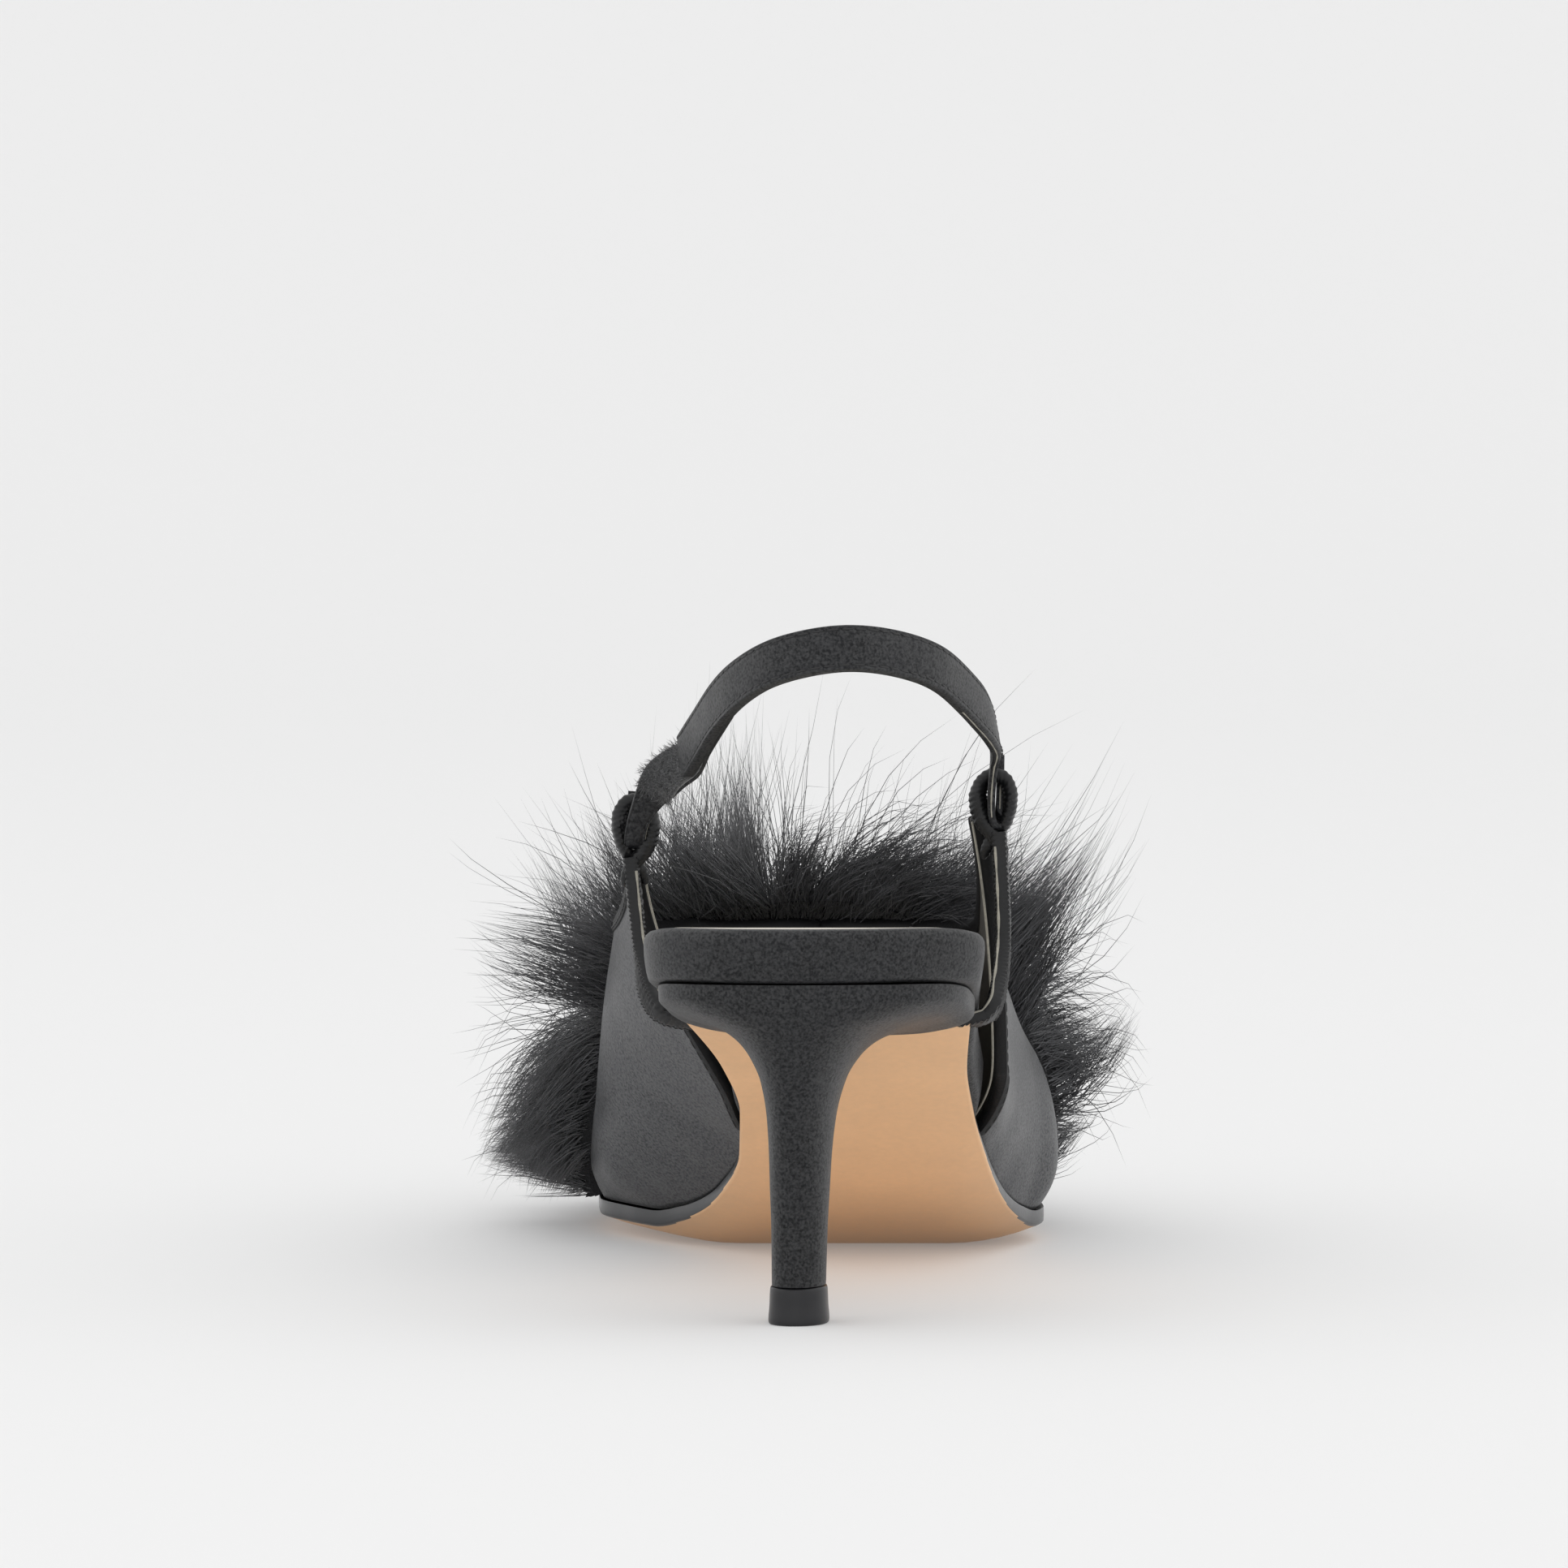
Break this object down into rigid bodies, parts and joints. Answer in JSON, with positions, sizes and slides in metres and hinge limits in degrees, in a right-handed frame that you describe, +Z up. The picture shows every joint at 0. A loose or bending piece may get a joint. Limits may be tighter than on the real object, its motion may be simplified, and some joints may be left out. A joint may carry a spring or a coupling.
{
  "type": "high heel shoe",
  "caption": "Black satin slingback pump with a curved mid heel, long black fur over the pointed vamp, thick wrapped insole and tan leather outsole",
  "frame": {"origin": "on the floor, at the middle of the heel tip's face", "axes": "+Y from the heel to the toe, +X to the outer side of the foot, +Z up"},
  "size_m": [0.1168, 0.247, 0.1151],
  "materials": {
    "satin": "fine woven satin, soft sheen",
    "ribbed_satin": "satin ribbon gathered into fine slanting ribs",
    "sole_leather": "smooth tan sole leather, edges sealed in gloss black",
    "tip_rubber": "hard black rubber, satin sheen",
    "lining": "thin pale lining leather, matte",
    "fur": "long soft hair, nearly black",
    "pile": "fuzzy hook-and-loop pile"
  },
  "bodies": {
    "root": {"outsole": "sole_leather", "top_lift": "tip_rubber", "heel": "satin", "insole": "satin", "sock_lining": "lining", "upper": "satin", "fur_vamp": "fur", "inner_stay": "ribbed_satin", "outer_stay": "ribbed_satin", "sling_strap": "satin", "closure_tab": "satin", "pile_patch": "pile"}
  },
  "joints": []
}
